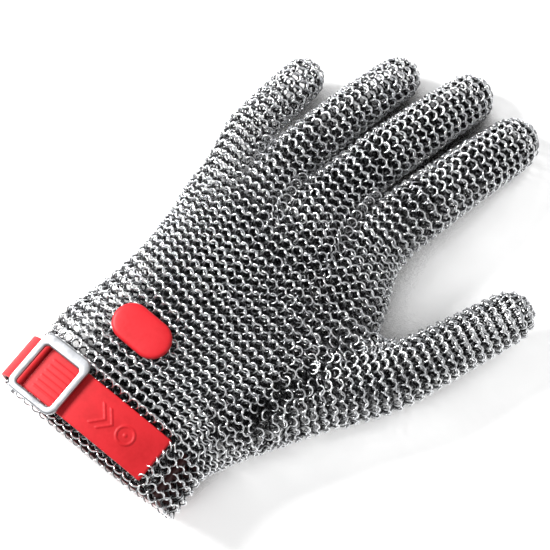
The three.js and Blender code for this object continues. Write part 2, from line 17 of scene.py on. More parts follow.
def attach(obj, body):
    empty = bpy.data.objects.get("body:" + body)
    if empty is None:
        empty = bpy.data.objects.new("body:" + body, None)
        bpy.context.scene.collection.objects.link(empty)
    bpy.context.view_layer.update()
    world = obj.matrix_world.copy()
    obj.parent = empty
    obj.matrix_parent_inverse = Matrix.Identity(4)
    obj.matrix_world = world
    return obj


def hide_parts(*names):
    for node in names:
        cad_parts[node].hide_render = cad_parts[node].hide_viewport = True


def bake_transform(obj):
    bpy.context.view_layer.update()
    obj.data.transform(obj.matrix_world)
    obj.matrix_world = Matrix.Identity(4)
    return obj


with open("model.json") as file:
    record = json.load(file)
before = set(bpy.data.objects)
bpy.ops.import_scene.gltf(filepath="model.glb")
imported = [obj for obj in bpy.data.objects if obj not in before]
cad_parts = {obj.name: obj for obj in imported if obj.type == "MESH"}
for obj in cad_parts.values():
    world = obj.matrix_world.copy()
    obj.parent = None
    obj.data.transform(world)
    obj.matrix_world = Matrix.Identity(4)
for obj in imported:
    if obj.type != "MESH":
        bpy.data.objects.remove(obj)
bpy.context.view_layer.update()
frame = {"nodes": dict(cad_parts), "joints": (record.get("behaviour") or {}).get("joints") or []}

MM = 0.001
JOINTS = {joint["name"]: joint for joint in frame["joints"]}
rng = np.random.default_rng(7)

# ---- Driving dimensions ----

RING_DIAMETER = 4.9  # outside
WIRE = 0.7
RING_TILT = 35  # degrees; rows lean forwards and backwards in turn
RING_YAW = 7  # degrees each ring leans over the next one in its row
ROW_PITCH = 2.06
MAIL_INSET = 1.4  # from the outside of the mail to the middle of its rings
FLOOR_CLEARANCE = 1.95  # least height of a ring's centre
RING_STEPS = 14  # corners round a ring
WIRE_STEPS = 6  # corners round its wire
WELD = 1.28  # how much thicker the wire is where its ends are welded
TURN_SPREAD = 4  # degrees; how unevenly rings lean
PLACE_SPREAD = 0.1  # how unevenly they lie
CROWDED = 2.1  # rings nearer than this to another don't fit
SEAM_OVERLAP = 2.0  # how far each net runs on past the seam between thumb and hand
PROBE = 0.2  # half the distance over which a surface's directions are measured

CUFF_CENTRE = np.array([8.0, -72.0, 0.0])  # middle of the cuff opening, on the resting plane
COLUMNS = 46  # columns round the hand: half over the back, half under the palm
BACK = COLUMNS // 2
BESIDE = 0.25  # part of a column; tells rings on one side of a line from those on it
CUFF_LENGTH = 30.0  # of the net, counted with the cuff's piece
KNUCKLE_STRIP = 8.0  # how much of the hand's net goes with the fingers
WEB_OVERLAP = 5.0  # how far before the end of a web the two fingers' own sides start
HAND_HEIGHT = 33.6  # top of the finger roots

CUFF_TURN = 10.0  # degrees the cuff and strap turn away from the X axis
CUFF_HALF_WIDTH = 44.0
CUFF_HALF_HEIGHT = 19.0
CUFF_MID_HEIGHT = 21.8
STRAP_CENTRE = 11.2  # distance of the strap's middle from the cuff rim
STRAP_WIDTH = 20.0
STRAP_THICKNESS = 2.0
STRAP_ARC_RADIUS = 150.0
STRAP_ARC_TOP = CUFF_MID_HEIGHT + CUFF_HALF_HEIGHT + 0.6  # underside of the strap at its middle
TONGUE_START, TONGUE_END = 26.6, -33.2  # across the cuff
TONGUE_STEP = 0.35
TONGUE_ROUNDING = 0.7  # length over which the tongue's ends are rounded
TONGUE_CROWN = 0.25  # how far its long edges fall below its middle
RELIEF = 0.32  # height of its moulded marks
CHEVRONS = (1.5, 5.0)  # across the cuff
CHEVRON_REACH = 5.0  # half their width
CHEVRON_BACK, CHEVRON_FRONT = 7.0, 2.0  # how far they may reach each way from their place
CHEVRON_RAKE = 0.9  # how far their arms sweep back for each millimetre outwards
CHEVRON_LINE, CIRCLE_LINE = 0.7, 0.55  # half widths of the raised lines
CIRCLE_PLACE, CIRCLE_RADIUS, DOT_RADIUS = 11.5, 3.6, 0.9
GRIP_START, GRIP_END, GRIP_REACH, GRIP_PITCH = -18.5, -30, 7.5, 2.5

# The mail laps over the strap along its finger side, and at the end where it comes out.
EDGE_LIFT, EDGE_GAP = 4.7, 1.3  # how high, and how far past the strap's edge
EDGE_NEAR, EDGE_FAR = 2.4, 5.0  # widths over which it falls, towards the strap and away from it
END_LIFT, END_GAP = 5.2, 0.8
END_NEAR, END_FAR = 0.9, 5.0
LIFTED_FROM, LIFTED_TO = (-42, -34), (34, 40)  # where the edge's lift sets in and ends
LIFTED_BESIDE = (9, 14)  # and the end's, on both sides of the strap's middle
LIFTED_ABOVE = (20, 26)  # only the back of the hand is lifted

PIN_ANGLE = 142.0  # degrees round the cuff's ellipse
EYE_RADIUS = 2.2  # outside of the strap's eye round the buckle pin
EYE_GAP = 0.4  # from the eye to the mail
EYE_WALL = 1.0  # thickness of the strap round its eye
BAND_START, BAND_END, BAND_STEP = 145.0, 404.0, 2.0
BAND_DIVE, BAND_SURFACE = 312.0, 408.0  # where the band passes into the mail and out again
BAND_SWAP = 20.0  # degrees each passage takes
BAND_FADE = 12.0  # degrees over which the band gains its thickness, and its painted shade
BAND_SLANT, BAND_SLANT_TOP = -0.045, 33.0  # it slants with the rim, below this height
OUTSIDE, INSIDE = 1.6, -4.6  # of the middle of the strap from the cuff's outside

BUCKLE_SLOPE = 6.5  # degrees the buckle leans down to the little finger side
BUCKLE_LENGTH, BUCKLE_WIDTH, BUCKLE_THICKNESS = 23.8, 27.0, 2.2
BUCKLE_CORNER, WINDOW_CORNER, BUCKLE_EDGE = 4.2, 1.6, 0.75
FRAME_BACK, FRAME_LIFT = -2.0, 5.3  # behind and above the pin
SIDE_BAR, WIDE_BAR = 3.0, 5.0
LEG_PLACE, LEG_THICKNESS, LEG_RADIUS, LEG_RAKE, LEG_EDGE = 12.0, 2.6, 2.0, 1.0, 0.5
PIN_HOLE = 1.2

BADGE_LENGTH, BADGE_WIDTH = 27.0, 16.0
BADGE_PLACE = CUFF_CENTRE + np.array([-19.0, 45.0, 38.3])
BADGE_TURN, BADGE_TILT = 8.0, -5.0  # degrees, about the vertical and down to the little finger
# Its outline through the thickness, from the underside to the crown: inset and height.
BADGE_PROFILE = [(3.0, 0.0), (0.5, 0.0), (0.15, 0.1), (0.0, 0.35), (0.0, 0.9), (0.12, 1.35),
                 (0.4, 1.75), (0.85, 2.0), (1.5, 2.12), (2.4, 2.2), (3.6, 2.27), (5.2, 2.33),
                 (7.0, 2.36)]

# Sections of the hand, from the cuff to between the fingers: centre from the cuff, half width,
# bottom and top height, turn in degrees and squareness (2 = ellipse).
HAND_SECTIONS = np.array([
    [0.1, -0.7, 44.0, 2.8, 40.8, 10.0, 2.0],
    [-3.5, 19.7, 43.5, 2.8, 40.8, 10.0, 2.0],
    [-6.0, 32.0, 45.0, 0.8, 39.2, 7.0, 2.2],
    [-5.0, 50.0, 45.5, -1.5, 37.5, 4.0, 2.3],
    [-5.0, 70.0, 46.5, -2.0, 36.5, 1.0, 2.4],
    [-8.0, 88.0, 46.8, -2.0, 35.5, 5.0, 2.4],
    [-8.0, 101.0, 49.8, -2.0, 34.8, 9.0, 2.4],
    [-12.0, 113.0, 49.8, -2.0, 34.4, 12.5, 2.4],
    [-14.0, 128.0, 48.5, -2.0, 33.6, 12.5, 2.4],
    [-16.0, 148.0, 46.0, -2.0, 32.5, 12.5, 2.4],
    [-15.0, 168.0, 45.0, -2.0, 31.0, 12.5, 2.4],
])
KNUCKLE_SECTION = 7

# A finger: columns shared with the back of the hand, columns round the finger, outer radius at
# the crotch, at its two joints and at the tip, length of its last part, and how far past the
# knuckle line the web on each side reaches (None is an outer side, with no neighbour).
FINGERS = {
    "little": {"first": 0, "shared": 5, "round": 12, "radii": (10.4, 10.0, 9.7, 9.3),
               "tip": 24.0, "webs": (None, 34.0)},
    "ring": {"first": 5, "shared": 5, "round": 14, "radii": (11.2, 10.7, 10.2, 9.7),
             "tip": 30.5, "webs": (32.0, 30.0)},
    "middle": {"first": 10, "shared": 6, "round": 16, "radii": (12.6, 12.0, 11.4, 10.8),
               "tip": 38.0, "webs": (29.0, 43.0)},
    "index": {"first": 16, "shared": 7, "round": 16, "radii": (14.2, 13.4, 12.6, 11.4),
              "tip": 38.0, "webs": (42.0, None)},
}
OUTER_WEB = 34.0  # length over which an outer side turns from hand to finger
TIP_BEND = 8.0  # degrees the last part of a finger is bent
KNUCKLE_BEND = (-6.0, 16.0)  # stations between which a finger bends at its knuckle
MIDDLE_BEND, LAST_BEND = 9.0, 7.0  # half the length that bends at each joint beyond it
THUMB = {"round": 18, "radii": (14.5, 15.6, 13.8, 12.0, 10.8), "tip": 35.0, "lead": 14.0}
THUMB_SHIFTS = (1.0, 2.6, 3.8)  # how far its knuckle, last joint and tip lie outside the CAD's
THUMB_ROOT_BEND = (35.0, 60.0)  # stations between which it bends away from the hand
THUMB_KNUCKLE_BEND, THUMB_LAST_BEND = 10.0, 9.0
THUMB_ROOT_END = 12.0  # how far before the knuckle its root piece ends
THUMB_JOIN_END = 10.0  # how far past the knuckle its net still heeds the hand
JOIN_REACH = 19.0  # size of the fillet between the thumb and the hand
INDEX_REACH = 60.0  # length of the index finger that the thumb's fillet heeds

# The camera looks down on the back of the hand, from the wrist's thumb side.
CAMERA_AZIMUTH, CAMERA_ELEVATION = np.radians(49.0), np.radians(75.0)
CAMERA_DISTANCE = 0.75  # metres
PICTURE_WIDTH = 0.2245  # width of the view at the glove
TARGET = Vector((0.0023, 0.0309, 0.020))
# Lights: places along the view's right, its upward direction and back to the camera, in metres.
KEY_PLACE, KEY_SIZE, KEY_POWER = (-0.6, 0.42, 0.45), 0.3, 13.0
FILL_PLACE, FILL_SIZE, FILL_POWER = (0.5, -0.1, 0.6), 0.5, 0.8
SKY = 0.42  # strength of the even light all round


# ---- Small helpers ----


def smoothstep(low, high, value):
    t = np.clip((value - low) / (high - low), 0, 1)
    return t * t * (3 - 2 * t)


def unit(vectors):
    return vectors / np.maximum(np.linalg.norm(vectors, axis=-1, keepdims=True), 1e-9)


def through(stations, values, at):
    """A smooth curve through values at stations (cubic Hermite), read at other stations."""
    slopes = np.gradient(values, stations, axis=0)
    k = np.clip(np.searchsorted(stations, at) - 1, 0, len(stations) - 2)
    span = stations[k + 1] - stations[k]
    t = (at - stations[k]) / span
    if values.ndim > 1:
        t, span = t[:, None], span[:, None]
    return (
        (2 * t**3 - 3 * t**2 + 1) * values[k]
        + (t**3 - 2 * t**2 + t) * span * slopes[k]
        + (3 * t**2 - 2 * t**3) * values[k + 1]
        + (t**3 - t**2) * span * slopes[k + 1]
    )


def joint_place(name):
    return np.array(JOINTS[name]["pos_m"]) / MM


def turn(vector, axis, degrees):
    """vector turned about a unit axis."""
    a = np.radians(degrees)
    along = axis * (vector @ axis)
    return along + (vector - along) * np.cos(a) + np.cross(axis, vector) * np.sin(a)


# ---- The surfaces that the rings lie on ----


class Sheet:
    """A surface held as a grid of points, read between them. Rows follow the station, columns
    go round and close on themselves."""

    def __init__(self, stations, columns, points):
        self.stations, self.columns, self.points = stations, columns, points

    def __call__(self, column, station):
        rows, cols = self.points.shape[:2]
        r = np.clip(np.interp(station, self.stations, np.arange(rows)), 0, rows - 1.0001)
        c = (column / self.columns * cols) % cols
        r0, c0 = r.astype(int), c.astype(int)
        fr, fc = (r - r0)[:, None], (c - c0)[:, None]
        c1, r1 = (c0 + 1) % cols, r0 + 1
        near = self.points[r0, c0] * (1 - fc) + self.points[r0, c1] * fc
        far = self.points[r1, c0] * (1 - fc) + self.points[r1, c1] * fc
        return near * (1 - fr) + far * fr


def section_loop(section, count, samples=400):
    """Evenly spaced points round one section, from the little finger side over the back."""
    x, y, half, low, high, turned, power = section
    middle, half_height = (low + high) / 2, (high - low) / 2 - MAIL_INSET
    loop = []
    for start in (np.pi, 0.0):
        angle = start - np.linspace(0, np.pi, samples)
        c, s = np.cos(angle), np.sin(angle)
        across = (half - MAIL_INSET) * np.sign(c) * np.abs(c) ** (2 / power)
        height = middle + half_height * np.sign(s) * np.abs(s) ** (2 / power)
        height = np.maximum(height, FLOOR_CLEARANCE)
        walked = np.r_[0, np.cumsum(np.hypot(np.diff(across), np.diff(height)))]
        wanted = (np.arange(count // 2) / (count // 2)) * walked[-1]
        across, height = np.interp(wanted, walked, across), np.interp(wanted, walked, height)
        loop.append(np.stack([across, height], 1))
    across, height = np.concatenate(loop).T
    a = np.radians(turned)
    return CUFF_CENTRE + np.stack([
        x + across * np.cos(a),
        y + across * np.sin(a),
        height,
    ], 1)


def make_hand_sheet():
    centres = HAND_SECTIONS[:, :2]
    stations = np.r_[0, np.cumsum(np.linalg.norm(np.diff(centres, axis=0), axis=1))]
    fine = np.arange(0, stations[-1], 1.0)
    sections = through(stations, HAND_SECTIONS, fine)
    grid = np.array([section_loop(section, COLUMNS * 4) for section in sections])
    # A section starts at the little finger side; column 0 lies half a column past it.
    return Sheet(fine, COLUMNS, np.roll(grid, -2, axis=1)), stations[KNUCKLE_SECTION]


def strap_frame_axes():
    a = np.radians(CUFF_TURN)
    return np.array([np.cos(a), np.sin(a), 0]), np.array([-np.sin(a), np.cos(a), 0])


def ridge(offset, near, far):
    """1 at the top, falling off over near on its lower side and over far on the other."""
    return np.exp(-(offset / np.where(offset < 0, near, far)) ** 2)


def lift_over_strap(points):
    """Raises the mail where it laps over the strap: along its finger side and at its end."""
    across_axis, along_axis = strap_frame_axes()
    across = (points - CUFF_CENTRE) @ across_axis
    along = (points - CUFF_CENTRE) @ along_axis - STRAP_CENTRE
    edge = EDGE_LIFT * ridge(along - STRAP_WIDTH / 2 - EDGE_GAP, EDGE_NEAR, EDGE_FAR)
    edge = edge * smoothstep(*LIFTED_FROM, across) * (1 - smoothstep(*LIFTED_TO, across))
    end = END_LIFT * ridge(across - TONGUE_START - END_GAP, END_NEAR, END_FAR)
    end = end * (1 - smoothstep(*LIFTED_BESIDE, np.abs(along)))
    on_back = smoothstep(*LIFTED_ABOVE, points[..., 2])
    points[..., 2] += np.maximum(edge, end) * on_back


hand_sheet, KNUCKLE_LINE = make_hand_sheet()
lift_over_strap(hand_sheet.points)


class Tube:
    """A round tube along a smooth path, closed by a dome. Columns run over the top from the
    little finger side to the thumb side and back underneath."""

    def __init__(self, corners, side, radii, radius_stations, columns, first_angle, bend=7.0):
        path = [np.linspace(a, b, max(2, int(np.linalg.norm(b - a) * 2)), endpoint=False)
                for a, b in zip(corners[:-1], corners[1:])]
        path = np.concatenate(path + [corners[-1:]])
        self.path = self.soften(path, bend)
        self.stations = np.r_[0, np.cumsum(np.linalg.norm(np.diff(self.path, axis=0), axis=1))]
        self.forward = unit(np.gradient(self.path, axis=0))
        self.side = unit(side - (self.forward @ side)[:, None] * self.forward)
        self.up = np.cross(self.side, self.forward)
        self.radii = np.array(radii) - MAIL_INSET
        self.radius_stations = radius_stations
        self.columns, self.first_angle = columns, first_angle
        self.dome_radius = self.radii[-1]
        self.dome_start = self.stations[-1] - MAIL_INSET - self.dome_radius
        self.length = self.dome_start + self.dome_radius * np.pi / 2

    @staticmethod
    def soften(path, bend):
        steps = np.arange(-int(3 * bend), int(3 * bend) + 1)
        weights = np.exp(-0.5 * (steps / bend) ** 2)
        weights /= weights.sum()
        count = len(steps) // 2
        first, last = path[:1], path[-1:]
        before = 2 * first - path[count:0:-1]
        after = 2 * last - path[-2:-count - 2:-1]
        padded = np.concatenate([before, path, after])
        return np.stack([np.convolve(padded[:, k], weights, "valid") for k in range(3)], 1)

    def at(self, values, station):
        return np.stack([np.interp(station, self.stations, values[:, k]) for k in range(3)], 1)

    def angle(self, column):
        return np.radians(self.first_angle - np.asarray(column) * 360 / self.columns)

    def __call__(self, column, station):
        on_dome = np.clip((station - self.dome_start) / self.dome_radius, 0, np.pi / 2)
        place = np.minimum(station, self.dome_start)
        radius = np.interp(place, self.radius_stations, self.radii)
        radius = np.where(on_dome > 0, self.dome_radius * np.cos(on_dome), radius)
        forward = self.at(self.forward, place)
        rise = (self.dome_radius * np.sin(on_dome))[:, None]
        centre = self.at(self.path, place) + forward * rise
        angle = self.angle(column)
        around = (np.cos(angle)[:, None] * self.at(self.side, place)
                  + np.sin(angle)[:, None] * self.at(self.up, place))
        return centre + around * radius[:, None]


def make_finger_tube(name, spec):
    knuckle = joint_place(f"{name}_knuckle")
    middle = joint_place(f"{name}_middle_joint")
    last = joint_place(f"{name}_tip_joint")
    axis = np.array(JOINTS[f"{name}_tip_joint"]["axis"])
    tip = last + turn(unit(last - middle), axis, TIP_BEND) * spec["tip"]
    # The tube starts on the knuckle line, level with the middle of the hand's thickness.
    ridge = HAND_SECTIONS[KNUCKLE_SECTION]
    line = np.array([np.cos(np.radians(ridge[5])), np.sin(np.radians(ridge[5])), 0])
    middle_of_line = CUFF_CENTRE + np.array([ridge[0], ridge[1], 0])
    forward = unit(middle - knuckle)
    # Where the finger's own line crosses the knuckle line, seen from above.
    offset = knuckle - middle_of_line
    u, _ = np.linalg.solve(np.stack([line[:2], forward[:2]], 1), offset[:2])
    start = middle_of_line + line * u
    start[2] = HAND_HEIGHT - spec["radii"][0]
    raised = knuckle + np.array([0, 0, 0.6 * (start[2] - knuckle[2])])
    corners = np.array([start, raised, middle, last, tip])
    lengths = np.r_[0, np.cumsum(np.linalg.norm(np.diff(corners, axis=0), axis=1))]
    stations = [0, 25, lengths[2], lengths[3], lengths[4]]
    radii = (spec["radii"][0],) + spec["radii"]
    columns = spec["round"]
    inner_columns = 2 if spec["webs"][0] is not None else 0
    first_angle = 180 - (inner_columns + 1) / 2 * 360 / columns
    return Tube(corners, -axis, radii, stations, columns, first_angle)


class Finger:
    """A finger's net. It starts as part of the hand's net and becomes a tube of its own."""

    def __init__(self, name, spec):
        self.name, self.spec = name, spec
        self.tube = make_finger_tube(name, spec)
        self.columns, self.shared, self.first = spec["round"], spec["shared"], spec["first"]
        self.little_web, self.thumb_web = spec["webs"]
        self.palm_column = self.columns - self.shared
        if self.little_web is not None:
            self.palm_column -= 2

    def web_reach(self, column):
        """How far the web reaches beside a column, blended across the finger."""
        angle = self.tube.angle(column)
        little = self.little_web or OUTER_WEB
        thumb = self.thumb_web or OUTER_WEB
        share = (1 + np.cos(angle)) / 2
        return little * (1 - share) + thumb * share

    def hand_columns(self, column):
        """The hand's column that a finger's column grows from, and how far it still shares it."""
        c = np.asarray(column, float)
        lowest = -0.5 if self.little_web is None else -1.5
        c = (c - lowest) % self.columns + lowest
        last = self.shared - 1
        on_back = c < (last + self.palm_column) / 2
        back = self.first + c
        palm = COLUMNS - self.first - self.shared + (c - self.palm_column)
        past = np.where(on_back, c - last, self.palm_column - c)
        before = np.where(on_back, -c, c - self.palm_column - last)
        outside = np.maximum(past if self.thumb_web is not None else 0 * c, 0)
        if self.little_web is not None:
            outside = np.maximum(outside, np.maximum(before, 0))
        return np.where(on_back, back, palm), np.clip(1 - outside, 0, 1)

    def __call__(self, column, station):
        own = self.tube(column, station)
        hand_column, share = self.hand_columns(column)
        shared = hand_sheet(hand_column, KNUCKLE_LINE + station)
        fade = 1 - smoothstep(0, self.web_reach(column), station)
        return own + (shared - own) * (fade * share)[:, None]


fingers = {name: Finger(name, spec) for name, spec in FINGERS.items()}


def make_thumb_tube():
    root = joint_place("thumb_root_swing")
    knuckle = joint_place("thumb_knuckle")
    last = joint_place("thumb_tip_joint")
    start = root - unit(knuckle - root) * THUMB["lead"]
    tip = last + unit(last - knuckle) * THUMB["tip"]
    outward = np.cross(unit(last - knuckle), [0, 0, 1])
    shifted = [place + outward * shift
               for place, shift in zip((knuckle, last, tip), THUMB_SHIFTS)]
    corners = np.array([start] + shifted)
    lengths = np.r_[0, np.cumsum(np.linalg.norm(np.diff(corners, axis=0), axis=1))]
    stations = [0, 30, lengths[1], lengths[2], lengths[3]]
    side = np.cross(unit(knuckle - root), [0, 0, 1])
    return Tube(corners, side, THUMB["radii"], stations, THUMB["round"], 180, bend=12)


thumb_tube = make_thumb_tube()


# ---- Joining the thumb to the hand ----


def surface_tree(surface, columns, first, last, step=1.5):
    """A search tree over part of a surface."""
    stations = np.arange(first, last, step)
    across = np.arange(0, columns, 0.5)
    s, c = np.meshgrid(stations, across, indexing="ij")
    points = surface(c.ravel(), s.ravel())
    wide = len(across)
    faces = []
    for row in range(len(stations) - 1):
        for k in range(wide):
            a, b = row * wide + k, row * wide + (k + 1) % wide
            faces.append((a, b, b + wide, a + wide))
    return points, faces


def tree_of(*parts):
    points, faces = [], []
    for part_points, part_faces in parts:
        base = len(points)
        points.extend(map(tuple, part_points))
        faces.extend(tuple(base + i for i in face) for face in part_faces)
    return BVHTree.FromPolygons(points, faces)


def distance_to(tree, points):
    """Signed distance to a surface, and the direction away from it."""
    distance, away = np.zeros(len(points)), np.zeros((len(points), 3))
    for i, point in enumerate(points):
        place, normal, _, _ = tree.find_nearest(Vector(point))
        offset = point - np.array(place)
        outward = offset @ np.array(normal)
        length = np.linalg.norm(offset)
        distance[i] = length if outward >= 0 else -length
        away[i] = offset / distance[i] if length > 1e-6 else normal
    return distance, away


hand_tree = tree_of(
    surface_tree(hand_sheet, COLUMNS, 0, KNUCKLE_LINE + 1),
    surface_tree(fingers["index"], FINGERS["index"]["round"], 0, INDEX_REACH),
)
thumb_tree = tree_of(surface_tree(thumb_tube, THUMB["round"], 0, thumb_tube.length))


def join(points, own, other, steps=5):
    """Moves points of one surface on to the smooth union of two. Also gives the way out of the
    union there, and how much nearer each point then is to its own surface."""
    points = points.copy()
    first_distance, _ = distance_to(other, points)
    near = np.abs(first_distance) < JOIN_REACH
    lead = np.where(first_distance > 0, JOIN_REACH, -JOIN_REACH)
    for _ in range(steps):
        a, away_a = distance_to(own, points[near])
        b, away_b = distance_to(other, points[near])
        share = np.clip(0.5 + 0.5 * (a - b) / JOIN_REACH, 0, 1)[:, None]
        gap = np.maximum(JOIN_REACH - np.abs(a - b), 0)
        union = np.minimum(a, b) - gap**2 / (4 * JOIN_REACH)
        slope = away_a * (1 - share) + away_b * share
        steepness = np.maximum((slope**2).sum(1), 0.25)
        points[near] -= slope * (union / steepness)[:, None]
        lead[near] = b - a
    points[:, 2] = np.maximum(points[:, 2], FLOOR_CLEARANCE)
    _, outwards = distance_to(own, points)
    outwards[near] = unit(slope)
    return points, outwards, lead


class Joined:
    """A surface with the fillet towards the other one. Only points near it are moved."""

    def __init__(self, surface, own, other):
        self.surface, self.own, self.other = surface, own, other

    def place(self, columns, at):
        """Where rings go: their columns, centres, ways out and ways along. Rings that would
        belong to the other surface, or crowd one that is already laid, are left out."""
        centres, outwards, lead = join(self.surface(columns, at), self.own, self.other)
        along = self.surface(columns, at + PROBE) - self.surface(columns, at - PROBE)
        keep = lead > -SEAM_OVERLAP
        if LAID and keep.any():
            laid = np.concatenate(LAID)
            gaps = np.linalg.norm(centres[:, None, :] - laid[None], axis=2).min(axis=1)
            keep &= gaps > CROWDED
        LAID.append(centres[keep])
        return columns[keep], centres[keep], outwards[keep], along[keep]


LAID = []  # centres of the rings laid on joined surfaces


# ---- Rings ----


def ring_template():
    """One ring about the Z axis: corners, faces, and the corners' places in a small UV square.
    The wire is a little thicker where its ends are welded."""
    radius = (RING_DIAMETER - WIRE) / 2
    major = np.arange(RING_STEPS) * 2 * np.pi / RING_STEPS
    minor = np.arange(WIRE_STEPS) * 2 * np.pi / WIRE_STEPS
    thickness = np.full(RING_STEPS, WIRE / 2)
    thickness[0] *= WELD
    reach = radius + thickness[:, None] * np.cos(minor)
    corners = np.stack([
        reach * np.cos(major)[:, None],
        reach * np.sin(major)[:, None],
        thickness[:, None] * np.sin(minor) * np.ones_like(reach),
    ], -1).reshape(-1, 3)
    faces, uvs = [], []
    for i in range(RING_STEPS):
        for j in range(WIRE_STEPS):
            quad = [(i, j), (i + 1, j), (i + 1, j + 1), (i, j + 1)]
            faces.append([(a % RING_STEPS) * WIRE_STEPS + b % WIRE_STEPS for a, b in quad])
            uvs.append([(a / RING_STEPS, b / WIRE_STEPS) for a, b in quad])
    return corners, np.array(faces), np.array(uvs)


RING_CORNERS, RING_FACES, RING_UVS = ring_template()
UV_MARGIN = 0.08  # round a ring's square, as a part of it
OUTER_SIDE = (-0.7, 0.8)  # depths between which a ring turns from painted shade to bright


class Rings:
    """A growing list of rings: centre, and the three directions each one lies along."""

    def __init__(self):
        self.centres, self.frames, self.normals = [], [], []

    def add(self, centres, around, along, lean):
        """around points along the row, along points to the next row, lean is +1 or -1."""
        if len(centres) == 0:
            return
        around = unit(around)
        normal = unit(np.cross(around, along))
        along = np.cross(normal, around)
        count = len(centres)
        tilt = np.radians(RING_TILT * lean + rng.normal(0, TURN_SPREAD, count))[:, None]
        yaw = np.radians(RING_YAW * lean + rng.normal(0, TURN_SPREAD, count))[:, None]
        reach = along * np.cos(tilt) + normal * np.sin(tilt)
        axis = np.cross(around, reach)
        across = around * np.cos(yaw) + axis * np.sin(yaw)
        axis = np.cross(across, reach)
        self.centres.append(centres + rng.normal(0, PLACE_SPREAD, (count, 3)))
        self.frames.append(np.stack([across, reach, axis], -1))
        self.normals.append(normal)

    def add_on(self, centres, outwards, along, lean):
        along = along - outwards * (along * outwards).sum(1, keepdims=True)
        self.add(centres, np.cross(along, outwards), along, lean)

    def take(self, other):
        self.centres += other.centres
        self.frames += other.frames
        self.normals += other.normals

    def joined(self):
        return [np.concatenate(part) for part in (self.centres, self.frames, self.normals)]


def lay_row(rings, surface, columns, station, lean):
    at = np.full(len(columns), station)
    around = surface(columns + PROBE, at) - surface(columns - PROBE, at)
    along = surface(columns, at + PROBE) - surface(columns, at - PROBE)
    rings.add(surface(columns, at), around, along, lean)


def make_ring_mesh(name, rings):
    centres, frames, outward = rings.joined()
    count = len(centres)
    # Each ring is turned in its own plane, so that the welds don't line up.
    turned = rng.uniform(0, 2 * np.pi, count)
    c, s = np.cos(turned), np.sin(turned)
    flat = RING_CORNERS
    x = flat[None, :, 0] * c[:, None] - flat[None, :, 1] * s[:, None]
    y = flat[None, :, 0] * s[:, None] + flat[None, :, 1] * c[:, None]
    local = np.stack([x, y, np.broadcast_to(flat[:, 2], x.shape)], -1)
    corners = (np.einsum("nij,nkj->nki", frames, local) + centres[:, None, :]) * MM
    faces = RING_FACES[None] + (np.arange(count) * len(flat))[:, None, None]
    mesh = bpy.data.meshes.new(name)
    mesh.vertices.add(count * len(flat))
    mesh.vertices.foreach_set("co", corners.astype(np.float32).ravel())
    mesh.loops.add(faces.size)
    mesh.loops.foreach_set("vertex_index", faces.astype(np.int32).ravel())
    mesh.polygons.add(faces.size // 4)
    mesh.polygons.foreach_set("loop_start", np.arange(0, faces.size, 4, dtype=np.int32))
    mesh.polygons.foreach_set("use_smooth", np.ones(faces.size // 4, bool))
    # Every ring has its own small square of the UV plane.
    side = int(np.ceil(np.sqrt(count)))
    cell = np.stack([np.arange(count) % side, np.arange(count) // side], -1)[:, None, None, :]
    uv = (cell + UV_MARGIN + (1 - 2 * UV_MARGIN) * RING_UVS[None]) / side
    mesh.uv_layers.new(name="OFBake").data.foreach_set("uv", uv.astype(np.float32).ravel())
    tone = np.repeat(rng.uniform(0, 1, count), len(flat)).astype(np.float32)
    mesh.attributes.new("ring_tone", "FLOAT", "POINT").data.foreach_set("value", tone)
    # Painted shade: the inner side of every ring is made dark, its outer side bright.
    depth = np.einsum("nki,ni->nk", corners / MM - centres[:, None, :], outward)
    bright = smoothstep(*OUTER_SIDE, depth).astype(np.float32).ravel()
    mesh.attributes.new("outer_side", "FLOAT", "POINT").data.foreach_set("value", bright)
    mesh.update()
    mesh.validate()
    piece = bpy.data.objects.new(name, mesh)
    bpy.context.scene.collection.objects.link(piece)
    piece.data.materials.append(MATERIALS["mail"])
    return piece


# ---- Materials ----


